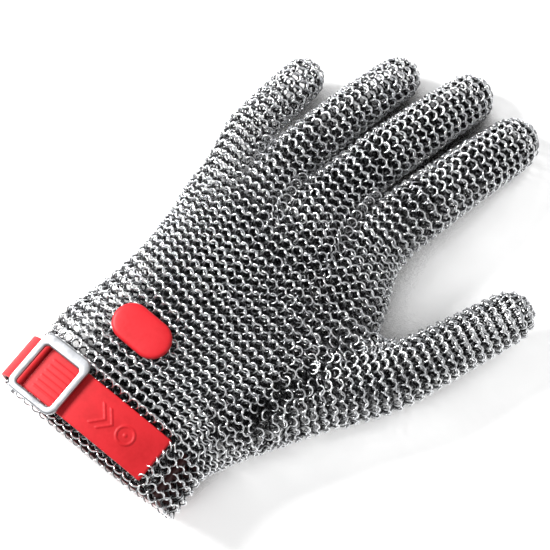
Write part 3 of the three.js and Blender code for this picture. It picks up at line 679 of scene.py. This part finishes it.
class Shader:
    """Shorthand for a material's nodes."""

    def __init__(self, name):
        self.material = bpy.data.materials.new(name)
        self.material.use_nodes = True
        self.tree = self.material.node_tree
        self.surface = self.tree.nodes["Principled BSDF"]

    def node(self, kind, **inputs):
        made = self.tree.nodes.new(kind)
        for key, value in inputs.items():
            target = made.inputs[key.replace("_", " ")]
            if isinstance(value, bpy.types.NodeSocket):
                self.tree.links.new(value, target)
            else:
                target.default_value = value
        return made

    def link(self, value, key):
        self.tree.links.new(value, self.surface.inputs[key])

    def set(self, **inputs):
        for key, value in inputs.items():
            self.surface.inputs[key.replace("_", " ")].default_value = value

    def coordinates(self):
        return self.node("ShaderNodeTexCoord").outputs["Object"]

    def attribute(self, name):
        made = self.node("ShaderNodeAttribute")
        made.attribute_name = name
        return made.outputs["Fac"]

    def math(self, operation, *values):
        made = self.node("ShaderNodeMath")
        made.operation = operation
        for socket, value in zip(made.inputs, values):
            if isinstance(value, bpy.types.NodeSocket):
                self.tree.links.new(value, socket)
            else:
                socket.default_value = value
        return made.outputs["Value"]

    def mix(self, share, low, high):
        """Colour low at share 0 and high at share 1."""
        made = self.tree.nodes.new("ShaderNodeMix")
        made.data_type = "RGBA"
        sockets = {"Factor": made.inputs[0], "A": made.inputs[6], "B": made.inputs[7]}
        for key, value in (("Factor", share), ("A", low), ("B", high)):
            if isinstance(value, bpy.types.NodeSocket):
                self.tree.links.new(value, sockets[key])
            else:
                sockets[key].default_value = value
        return made.outputs[2]

    def noise(self, scale, detail=3.0, vector=None, roughness=0.5):
        made = self.node("ShaderNodeTexNoise", Scale=scale, Detail=detail, Roughness=roughness)
        self.tree.links.new(vector or self.coordinates(), made.inputs["Vector"])
        return made.outputs["Fac"]

    def ramp(self, value, stops):
        made = self.node("ShaderNodeValToRGB", Fac=value)
        elements = made.color_ramp.elements
        while len(elements) < len(stops):
            elements.new(0.5)
        for element, (place, colour) in zip(elements, stops):
            element.position = place
            element.color = (*colour, 1)
        return made.outputs["Color"]

    def range(self, value, low, high):
        made = self.node("ShaderNodeMapRange", Value=value, To_Min=low, To_Max=high)
        return made.outputs["Result"]

    def bump(self, height, strength, distance):
        made = self.node("ShaderNodeBump", Height=height, Strength=strength, Distance=distance)
        self.link(made.outputs["Normal"], "Normal")


def mail_material():
    """Bright welded wire. The side turned in to the hand is painted dark, as shade."""
    shader = Shader("mail")
    tone = shader.attribute("ring_tone")
    outer = shader.attribute("outer_side")
    worn = shader.noise(60.0, 2.0)
    mixed = shader.math("MULTIPLY_ADD", tone, 0.6, worn)
    bright = shader.ramp(mixed, [
        (0.2, (0.58, 0.59, 0.61)), (0.6, (0.74, 0.75, 0.77)), (1.0, (0.90, 0.91, 0.92)),
    ])
    # Painted shade: the ring's inner side goes near black.
    shader.link(shader.mix(outer, (0.016, 0.016, 0.018, 1), bright), "Base Color")
    shader.link(shader.range(shader.noise(900.0, 2.0), 0.16, 0.32), "Roughness")
    shader.set(Metallic=1.0)
    shader.bump(shader.noise(2500.0, 2.0), 0.15, 0.0001)
    return shader.material


def red_plastic(name, colour, dark, roughness, grain):
    """Moulded plastic: slightly uneven colour, a fine satin grain and small scuffs, darkened by
    painted shade where a mesh asks for it.
    """
    shader = Shader(name)
    cloudy = shader.noise(90.0, 4.0)
    scuffs = shader.noise(420.0, 6.0, roughness=0.7)
    shade = shader.math("MULTIPLY_ADD", scuffs, 0.35, shader.math("MULTIPLY", cloudy, 0.65))
    surface = shader.ramp(shade, [(0.3, dark), (0.55, colour), (0.8, colour)])
    # Painted shade: where a mesh asks for it, the colour falls almost to black.
    painted_shade_colour = tuple(0.05 * channel for channel in colour) + (1,)
    shader.link(shader.mix(shader.attribute("painted_shade"), surface, painted_shade_colour), "Base Color")
    shader.link(shader.range(scuffs, roughness - 0.08, roughness + 0.12), "Roughness")
    shader.set(Specular_IOR_Level=0.22)
    shader.bump(shader.noise(grain, 3.0), 0.25, 0.00012)
    return shader.material


def steel(name, colour, roughness):
    """Pressed and polished steel with fine drawn lines and a little tarnish."""
    shader = Shader(name)
    mapping = shader.node("ShaderNodeMapping", Vector=shader.coordinates())
    mapping.inputs["Scale"].default_value = (1.0, 0.06, 1.0)
    lines = shader.noise(2200.0, 2.0, mapping.outputs["Vector"])
    patches = shader.noise(160.0, 4.0)
    dull = tuple(0.62 * channel for channel in colour)
    shade = shader.math("MULTIPLY_ADD", lines, 0.3, shader.math("MULTIPLY", patches, 0.7))
    shader.link(shader.ramp(shade, [(0.3, dull), (0.62, colour)]), "Base Color")
    shader.link(shader.range(shade, roughness, roughness + 0.22), "Roughness")
    shader.set(Metallic=1.0)
    shader.bump(lines, 0.2, 0.00006)
    return shader.material


MATERIALS = {
    "mail": mail_material(),
    "strap": red_plastic("strap", (0.55, 0.014, 0.020), (0.44, 0.009, 0.013), 0.5, 1500.0),
    "badge": red_plastic("badge", (0.55, 0.014, 0.021), (0.48, 0.010, 0.015), 0.4, 700.0),
    "buckle": steel("buckle", (0.46, 0.47, 0.49), 0.26),
    "rivet": steel("rivet", (0.66, 0.67, 0.69), 0.32),
}


# ---- The nets ----


DOME_LIMIT, DOME_POWER = 1.45, 0.8  # how the rows on a dome thin out towards its top


def rows_over(length):
    count = int(round(length / ROW_PITCH))
    return count, length / count


def lay_hand():
    """The hand's rings, sorted into the rigid pieces and the strip that belongs to each finger."""
    groups = {name: Rings() for name in ("cuff", "back", "palm")}
    strips = {name: Rings() for name in FINGERS}
    rows, pitch = rows_over(KNUCKLE_LINE)
    surface = Joined(hand_sheet, hand_tree, thumb_tree)
    for row in range(rows):
        station = (row + 0.5) * pitch
        columns = np.arange(COLUMNS) + 0.5 * (row % 2)
        columns, centres, outwards, along = surface.place(columns, np.full(COLUMNS, station))
        lean = 1 if row % 2 else -1
        if station > KNUCKLE_LINE - KNUCKLE_STRIP:
            for name, spec in FINGERS.items():
                # A column under the palm belongs with the one above it.
                place = np.where(columns < BACK - BESIDE, columns, COLUMNS - 1 - columns)
                first, end = spec["first"] - BESIDE, spec["first"] + spec["shared"] - BESIDE
                mine = (place >= first) & (place < end)
                if name == "little":
                    mine |= place < 0
                strips[name].add_on(centres[mine], outwards[mine], along[mine], lean)
        elif station < CUFF_LENGTH:
            groups["cuff"].add_on(centres, outwards, along, lean)
        else:
            on_back = columns < BACK - BESIDE
            for side, chosen in (("back", on_back), ("palm", ~on_back)):
                groups[side].add_on(centres[chosen], outwards[chosen], along[chosen], lean)
    return groups, strips, rows


def dome_columns(tube, columns, station, half):
    """The columns of a row on a tube: fewer and fewer on its dome."""
    past = (station - tube.dome_start) / tube.dome_radius
    if past > 0:
        columns = max(3, int(round(columns * np.cos(min(past, DOME_LIMIT)) ** DOME_POWER)))
    return (np.arange(columns) + half) * tube.columns / columns


def lay_finger(finger, first_row):
    """A finger's rings, sorted by the joint they cross."""
    groups = {part: Rings() for part in ("root", "middle", "tip")}
    rows, pitch = rows_over(finger.tube.length)
    knuckle_to_middle = finger.tube.radius_stations[2]
    middle_to_tip = finger.tube.radius_stations[3]
    joined = Joined(finger, hand_tree, thumb_tree) if finger.name == "index" else None
    for row in range(rows):
        station = (row + 0.5) * pitch
        odd = (first_row + row) % 2
        columns = finger_row_columns(finger, station, 0.5 * odd)
        if station < 0.5 * knuckle_to_middle:
            group = groups["root"]
        elif station < 0.5 * (knuckle_to_middle + middle_to_tip):
            group = groups["middle"]
        else:
            group = groups["tip"]
        lean = 1 if odd else -1
        if joined and station < OUTER_WEB:
            _, centres, outwards, along = joined.place(columns, np.full(len(columns), station))
            group.add_on(centres, outwards, along, lean)
        else:
            lay_row(group, finger, columns, station, lean)
    return groups


def finger_row_columns(finger, station, half):
    """The columns that have a ring in this row: fewer on the dome, and none where the net is
    still shared with a neighbour."""
    columns = dome_columns(finger.tube, finger.columns, station, half)
    if station > finger.tube.dome_start:
        return columns
    _, share = finger.hand_columns(columns)
    return columns[(share > 0.99) | (station > finger.web_reach(columns) - WEB_OVERLAP)]


def lay_web(rings, near, far, first_row):
    """The rings between two fingers, from the knuckles to the end of the web, back and palm."""
    reach = near.thumb_web
    _, pitch = rows_over(near.tube.length)
    edges = [(near.shared - 1, 0), (near.palm_column, far.palm_column + far.shared - 1)]
    for row in range(int(reach / pitch)):
        if (first_row + row) % 2 == 0:
            continue
        at = np.array([(row + 0.5) * pitch])
        for near_edge, far_edge in edges:
            sides = ((near, np.array([near_edge])), (far, np.array([far_edge])))
            a, b = (side(edge, at) for side, edge in sides)
            along = sum(side(edge, at + PROBE) - side(edge, at - PROBE) for side, edge in sides)
            around = (b - a) if near_edge == near.shared - 1 else (a - b)
            rings.add((a + b) / 2, around, along, 1)


def lay_thumb():
    groups = {part: Rings() for part in ("root", "middle", "tip")}
    rows, pitch = rows_over(thumb_tube.length)
    knuckle, last = thumb_tube.radius_stations[2:4]
    surface = Joined(thumb_tube, thumb_tree, hand_tree)
    for row in range(rows):
        station = (row + 0.5) * pitch
        columns = dome_columns(thumb_tube, thumb_tube.columns, station, 0.5 * (row % 2))
        if station < knuckle - THUMB_ROOT_END:
            group = groups["root"]
        elif station < (knuckle + last) / 2:
            group = groups["middle"]
        else:
            group = groups["tip"]
        lean = 1 if row % 2 else -1
        if station < knuckle + THUMB_JOIN_END:
            _, centres, outwards, along = surface.place(columns, np.full(len(columns), station))
            group.add_on(centres, outwards, along, lean)
        else:
            lay_row(group, thumb_tube, columns, station, lean)
    return groups


def make_tube_pieces(name, tube, groups, crossings):
    """Makes a finger's or the thumb's pieces. Each stands for one node, whose CAD mail it hides."""
    for part, (node, before, after, start, end) in crossings.items():
        piece = make_ring_mesh(f"{name}_{part}_rings", groups[part])
        ends = tube.at(tube.path, np.array([max(start, 0), end]))
        if start < 0:
            ends[0] += tube.at(tube.forward, np.array([0.0]))[0] * start
        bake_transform(piece)
        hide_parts(f"{name}_{node}_mail")


hand_groups, strips, hand_rows = lay_hand()
for name, rings in hand_groups.items():
    piece = make_ring_mesh(f"{name}_mail_rings", rings)
    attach(piece, "hand")
    if name == "cuff":
        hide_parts("hand_mail")

names = list(FINGERS)
for number, name in enumerate(names):
    finger = fingers[name]
    groups = lay_finger(finger, hand_rows)
    groups["root"].take(strips[name])
    if number + 1 < len(names):
        lay_web(groups["root"], finger, fingers[names[number + 1]], hand_rows)
    middle, last = finger.tube.radius_stations[2:4]
    make_tube_pieces(name, finger.tube, groups, {
        "root": ("proximal", "hand", f"{name}_proximal", *KNUCKLE_BEND),
        "middle": ("middle", f"{name}_proximal", f"{name}_middle",
                   middle - MIDDLE_BEND, middle + MIDDLE_BEND),
        "tip": ("tip", f"{name}_middle", f"{name}_tip", last - LAST_BEND, last + LAST_BEND),
    })

knuckle, last = thumb_tube.radius_stations[2:4]
make_tube_pieces("thumb", thumb_tube, lay_thumb(), {
    "root": ("base", "hand", "thumb_base", *THUMB_ROOT_BEND),
    "middle": ("proximal", "thumb_base", "thumb_proximal",
               knuckle - THUMB_KNUCKLE_BEND, knuckle + THUMB_KNUCKLE_BEND),
    "tip": ("tip", "thumb_proximal", "thumb_tip", last - THUMB_LAST_BEND, last + THUMB_LAST_BEND),
})


# ---- Strap, buckle and badge ----


def mesh_piece(name, corners, faces, material):
    """A piece from corners in millimetres in the part's frame."""
    mesh = bpy.data.meshes.new(name)
    mesh.from_pydata([tuple(c) for c in np.asarray(corners) * MM], [], faces)
    mesh.update()
    work = bmesh.new()
    work.from_mesh(mesh)
    bmesh.ops.recalc_face_normals(work, faces=work.faces)
    work.to_mesh(mesh)
    work.free()
    mesh.polygons.foreach_set("use_smooth", np.ones(len(mesh.polygons), bool))
    mesh.materials.append(MATERIALS[material])
    piece = bpy.data.objects.new(name, mesh)
    bpy.context.scene.collection.objects.link(piece)
    return piece


def loft(loops, closed_path=False):
    """Corners and faces of a skin over loops of equally many points, capped if it has ends."""
    count = len(loops[0])
    corners = np.concatenate(loops)
    faces = []
    last = len(loops) if closed_path else len(loops) - 1
    for row in range(last):
        after = (row + 1) % len(loops)
        for k in range(count):
            n = (k + 1) % count
            faces.append((row * count + k, row * count + n, after * count + n, after * count + k))
    if not closed_path:
        faces.append(tuple(range(count)))
        faces.append(tuple((len(loops) - 1) * count + k for k in range(count)))
    return corners, faces


def band_section(width, thickness, rounding=0.55, top_steps=60):
    """The outline across a strap, as (across its width, through its thickness): a flat top with
    many points for relief, rounded edges and a plain underside."""
    points = []
    flat = width / 2 - rounding
    for k in range(top_steps + 1):
        points.append((-flat + 2 * flat * k / top_steps, thickness / 2))
    corner = [(flat, thickness / 2 - rounding, 90), (flat, rounding - thickness / 2, 0)]
    for x, z, start in corner:
        for k in range(1, 5):
            a = np.radians(start - 90 * k / 4)
            points.append((x + rounding * np.cos(a), z + rounding * np.sin(a)))
    for k in range(1, 8):
        points.append((flat - 2 * flat * k / 8, -thickness / 2))
    corner = [(-flat, rounding - thickness / 2, 270), (-flat, thickness / 2 - rounding, 180)]
    for x, z, start in corner:
        for k in range(0, 4):
            a = np.radians(start - 90 * k / 4)
            points.append((x + rounding * np.cos(a), z + rounding * np.sin(a)))
    return np.array(points)


def strap_to_part(across, along, height):
    """From the strap's own frame to the part's: across the cuff, towards the fingers, up."""
    across_axis, along_axis = strap_frame_axes()
    return (CUFF_CENTRE + np.multiply.outer(across, across_axis)
            + np.multiply.outer(np.asarray(along) + STRAP_CENTRE, along_axis)
            + np.multiply.outer(height, [0, 0, 1]))


def stroke(distance, half_width):
    """1 in the middle of a raised line, falling to 0 at its sides."""
    return 1 - smoothstep(half_width * 0.6, half_width, np.abs(distance))


def relief(across, along):
    """Height of the moulded marks on the strap: two chevrons, a circle and dot, and grip ribs."""
    height = np.zeros_like(along)
    for tip in CHEVRONS:
        inside = ((np.abs(along) < CHEVRON_REACH) & (across > tip - CHEVRON_BACK)
                  & (across < tip + CHEVRON_FRONT))
        height += inside * stroke(across - tip + CHEVRON_RAKE * np.abs(along), CHEVRON_LINE)
    away = np.hypot(across - CIRCLE_PLACE, along)
    height += stroke(away - CIRCLE_RADIUS, CIRCLE_LINE) + stroke(away, DOT_RADIUS)
    grip = (across < GRIP_START) & (across > GRIP_END) & (np.abs(along) < GRIP_REACH)
    height += grip * 0.7 * smoothstep(0.5, 0.9, np.sin(along * 2 * np.pi / GRIP_PITCH))
    return np.clip(height, 0, 1) * RELIEF


def arc_height(across, radius):
    return STRAP_ARC_TOP - STRAP_ARC_RADIUS + np.sqrt(radius**2 - across**2)


def make_tongue():
    section = band_section(STRAP_WIDTH, STRAP_THICKNESS)
    middle = STRAP_ARC_RADIUS + STRAP_THICKNESS / 2
    loops = []
    length = TONGUE_START - TONGUE_END
    for across in np.linspace(TONGUE_START, TONGUE_END, int(length / TONGUE_STEP)):
        inset = min(TONGUE_START - across, across - TONGUE_END)
        narrowing = (1 - min(inset / TONGUE_ROUNDING, 1)) ** 2
        y = section[:, 0] * (1 - 0.03 * narrowing)
        z = section[:, 1] * (1 - 0.5 * narrowing)
        z = z + np.where(z > 0.9, relief(np.full(len(y), across), y), 0)  # on its upper face
        z = z - TONGUE_CROWN * (np.abs(y) / (STRAP_WIDTH / 2)) ** 4
        slope = across / middle
        lift = arc_height(across, middle)
        loops.append(strap_to_part(across + z * slope, y, lift + z * np.sqrt(1 - slope**2)))
    corners, faces = loft(loops)
    piece = mesh_piece("strap_tongue_moulded", corners, faces, "strap")
    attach(piece, "strap_end")
    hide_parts("strap_tongue")


def beside_cuff(degrees, offset):
    """A point beside the cuff's ellipse, in the plane across the cuff."""
    a = np.radians(degrees)
    c, s = np.cos(a), np.sin(a)
    normal = np.array([c / CUFF_HALF_WIDTH, s / CUFF_HALF_HEIGHT])
    normal /= np.linalg.norm(normal)
    edge = np.array([CUFF_HALF_WIDTH * c, CUFF_MID_HEIGHT + CUFF_HALF_HEIGHT * s])
    return edge + normal * offset


def make_band():
    pin = beside_cuff(PIN_ANGLE, EYE_RADIUS + EYE_GAP)
    path, thick, painted_shade = [], [], []
    curl = EYE_RADIUS - EYE_WALL / 2
    # The eye first, round the pin, and then the band round the wrist.
    for degrees in np.linspace(-60, 215, 26):
        a = np.radians(degrees)
        path.append(pin + curl * np.array([np.cos(a), np.sin(a)]))
        thick.append(EYE_WALL)
        painted_shade.append(0.0)
    for degrees in np.arange(BAND_START + 3, BAND_END, BAND_STEP):
        inward = smoothstep(BAND_DIVE, BAND_DIVE + BAND_SWAP, degrees)
        outward = smoothstep(BAND_SURFACE - BAND_SWAP, BAND_SURFACE, degrees)
        path.append(beside_cuff(degrees, OUTSIDE + (INSIDE - OUTSIDE) * (inward - outward)))
        full = smoothstep(BAND_START, BAND_START + BAND_FADE, degrees)
        thick.append(EYE_WALL + (STRAP_THICKNESS - EYE_WALL) * full)
        painted_shade.append(smoothstep(BAND_DIVE, BAND_DIVE + BAND_FADE, degrees))
    path = np.array(path)
    forward = unit(np.gradient(path, axis=0))
    # Facing away from the pin on the curl and away from the wrist on the band.
    outwards = np.stack([forward[:, 1], -forward[:, 0]], 1)
    section = band_section(STRAP_WIDTH, 1.0, rounding=0.3, top_steps=24)
    loops = []
    for place, out, thickness in zip(path, outwards, thick):
        y, z = section[:, 0], section[:, 1] * thickness
        y = y + BAND_SLANT * max(BAND_SLANT_TOP - place[1], 0)
        loops.append(strap_to_part(place[0] + out[0] * z, y, place[1] + out[1] * z))
    corners, faces = loft(loops)
    piece = mesh_piece("strap_band_moulded", corners, faces, "strap")
    # Painted shade darkens the strap's underside and the stretch that runs inside the mail.
    under = 1 - smoothstep(-0.45, 0.1, section[:, 1])
    values = np.maximum.outer(np.array(painted_shade), under).astype(np.float32).ravel()
    piece.data.attributes.new("painted_shade", "FLOAT", "POINT").data.foreach_set("value", values)
    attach(piece, "hand")
    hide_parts("strap_band")


def rounded_oblong(left, bottom, right, top, radius, corner_steps=8, side_steps=4):
    """Points round an oblong, the same number whatever its size."""
    points = []
    corners = [(right - radius, bottom + radius, -90), (right - radius, top - radius, 0),
               (left + radius, top - radius, 90), (left + radius, bottom + radius, 180)]
    for x, y, start in corners:
        angles = np.radians(start + 90 * np.arange(corner_steps + 1) / corner_steps)
        points += [(x + radius * np.cos(a), y + radius * np.sin(a)) for a in angles]
    points = np.array(points)
    filled = []
    for k, point in enumerate(points):
        filled.append(point)
        if (k + 1) % (corner_steps + 1) == 0:
            after = points[(k + 1) % len(points)]
            filled += [point + (after - point) * t / side_steps for t in range(1, side_steps)]
    return np.array(filled)


def ring_plate(outer, inner, low, high, rounding, steps=5):
    """A plate between two outlines, with all its edges rounded. Returns loops of (x, y, z)."""
    height = high - low
    loops = []
    for out, into in zip(outer, inner):
        across = out - into
        width = np.linalg.norm(across)
        across = across / width
        r = min(rounding, width / 2.02, height / 2.02)
        points = []
        for x, z, start in ((width - r, high - r, 90), (width - r, low + r, 0),
                            (r, low + r, -90), (r, high - r, -180)):
            for k in range(steps + 1):
                a = np.radians(start - 90 * k / steps)
                points.append((*(into + across * (x + r * np.cos(a))), z + r * np.sin(a)))
        loops.append(np.array(points))
    return loops


def buckle_to_part(points):
    a = np.radians(BUCKLE_SLOPE)
    pin = beside_cuff(PIN_ANGLE, EYE_RADIUS + EYE_GAP)
    x, y, z = np.asarray(points).T
    across = pin[0] + x * np.cos(a) - z * np.sin(a)
    height = pin[1] + x * np.sin(a) + z * np.cos(a)
    return strap_to_part(across, y, height)


def make_buckle():
    front, side = FRAME_BACK + BUCKLE_LENGTH, BUCKLE_WIDTH / 2
    outer = rounded_oblong(FRAME_BACK, -side, front, side, BUCKLE_CORNER)
    inner = rounded_oblong(FRAME_BACK + SIDE_BAR, SIDE_BAR - side, front - SIDE_BAR,
                           side - WIDE_BAR, WINDOW_CORNER)
    loops = ring_plate(outer, inner, FRAME_LIFT, FRAME_LIFT + BUCKLE_THICKNESS, BUCKLE_EDGE)
    corners, faces = loft(loops, closed_path=True)
    all_corners, all_faces = [buckle_to_part(corners)], list(faces)
    for direction in (-1, 1):
        top = FRAME_LIFT + BUCKLE_THICKNESS / 2
        angles = np.radians(np.linspace(180, 360, 17))
        round_end = np.stack([LEG_RADIUS * np.cos(angles), LEG_RADIUS * np.sin(angles)], 1)
        outline = np.concatenate([
            round_end,
            [[LEG_RADIUS + LEG_RAKE * t, top * t] for t in (0.33, 0.66, 1.0)],
            [[LEG_RAKE + LEG_RADIUS * t, top] for t in (0.5, 0.0, -0.5)],
            [[LEG_RAKE * t - LEG_RADIUS, top * t] for t in (1.0, 0.66, 0.33)],
        ])
        bearing = np.arctan2(outline[:, 1], outline[:, 0])
        hole = PIN_HOLE * np.stack([np.cos(bearing), np.sin(bearing)], 1)
        loops = ring_plate(outline, hole, -LEG_THICKNESS / 2, LEG_THICKNESS / 2, LEG_EDGE,
                           steps=3)
        leg, leg_faces = loft(loops, closed_path=True)
        leg = np.stack([leg[:, 0], leg[:, 2] + direction * LEG_PLACE, leg[:, 1]], 1)
        base = sum(len(part) for part in all_corners)
        all_corners.append(buckle_to_part(leg))
        all_faces += [tuple(base + k for k in face) for face in leg_faces]
    piece = mesh_piece("buckle_frame_polished", np.concatenate(all_corners), all_faces,
                       "buckle")
    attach(piece, "buckle")
    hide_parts("buckle_frame")


def make_badge():
    """A moulded badge with a softly rounded edge and a slightly crowned face."""
    loops = []
    for inset, height in BADGE_PROFILE:
        half_length, half_width = BADGE_LENGTH / 2 - inset, BADGE_WIDTH / 2 - inset
        loop = rounded_oblong(-half_length, -half_width, half_length, half_width,
                              half_width - 0.01, corner_steps=12)
        loops.append(np.column_stack([loop, np.full(len(loop), height)]))
    corners, faces = loft(loops)
    tilt, turned = np.radians(BADGE_TILT), np.radians(BADGE_TURN)
    x, y, z = corners.T
    x, z = x * np.cos(tilt) + z * np.sin(tilt), -x * np.sin(tilt) + z * np.cos(tilt)
    x, y = x * np.cos(turned) - y * np.sin(turned), x * np.sin(turned) + y * np.cos(turned)
    piece = mesh_piece("badge_face_moulded", BADGE_PLACE + np.stack([x, y, z], 1), faces,
                       "badge")
    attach(piece, "hand")
    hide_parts("badge_face")


make_tongue()
make_band()
make_buckle()
make_badge()
for node in ("buckle_pin", "badge_back", "badge_rivet_outer", "badge_rivet_inner"):
    frame["nodes"][node].data.materials.clear()
    frame["nodes"][node].data.materials.append(MATERIALS["rivet"])


# ---- Stage, light and camera ----


def make_stage():
    bpy.ops.mesh.primitive_plane_add(size=6, location=(0, 0, -0.0005))
    floor = bpy.context.object
    floor.name = "floor"
    # Pale paper. Its colour goes dark only where the glove shuts it in, a painted shadow, so that
    # the rings stand out. It also glows a little, painted light that softens the shadows.
    shader = Shader("floor")
    shut_in = shader.tree.nodes.new("ShaderNodeAmbientOcclusion")
    shut_in.samples = 12
    shut_in.inputs["Distance"].default_value = 0.05
    paper_with_painted_shadow = shader.ramp(shut_in.outputs["AO"], [(0.36, (0, 0, 0)), (0.56, (0.9, 0.9, 0.9))])
    shader.link(paper_with_painted_shadow, "Base Color")
    shader.link(paper_with_painted_shadow, "Emission Color")
    # Painted light: the floor glows with its own colour.
    shader.set(Roughness=0.7, Specular_IOR_Level=0.1, Emission_Strength=0.5)
    floor.data.materials.append(shader.material)


def area_light(name, place, size, power):
    """A round lamp that faces the glove."""
    light = bpy.data.lights.new(name, "AREA")
    light.shape, light.size, light.energy = "DISK", size, power
    lamp = bpy.data.objects.new(name, light)
    lamp.location = place
    lamp.rotation_euler = (TARGET - place).to_track_quat("-Z", "Y").to_euler()
    bpy.context.scene.collection.objects.link(lamp)


def make_camera():
    sa, ca = np.sin(CAMERA_AZIMUTH), np.cos(CAMERA_AZIMUTH)
    se, ce = np.sin(CAMERA_ELEVATION), np.cos(CAMERA_ELEVATION)
    back = Vector((sa * ce, -ca * ce, se))
    data = bpy.data.cameras.new("camera")
    data.lens = data.sensor_width * CAMERA_DISTANCE / PICTURE_WIDTH
    camera = bpy.data.objects.new("camera", data)
    camera.location = TARGET + back * CAMERA_DISTANCE
    camera.rotation_mode = "QUATERNION"
    camera.rotation_quaternion = (-back).to_track_quat("-Z", "Y")
    bpy.context.scene.collection.objects.link(camera)
    bpy.context.scene.camera = camera
    right = Vector((ca, sa, 0))
    upward = Vector((-sa * se, ca * se, ce))
    return right, upward, back


right, upward, back = make_camera()
make_stage()
for name, place, size, power in (("key", KEY_PLACE, KEY_SIZE, KEY_POWER),
                                 ("fill", FILL_PLACE, FILL_SIZE, FILL_POWER)):
    to_right, to_top, to_camera = place
    spot = TARGET + back * to_camera + upward * to_top + right * to_right
    area_light(name, spot, size, power)
world = bpy.data.worlds.new("studio")
bpy.context.scene.world = world
world.use_nodes = True
world.node_tree.nodes["Background"].inputs["Color"].default_value = (1, 1, 1, 1)
world.node_tree.nodes["Background"].inputs["Strength"].default_value = SKY
bpy.context.scene.view_settings.view_transform = "Standard"
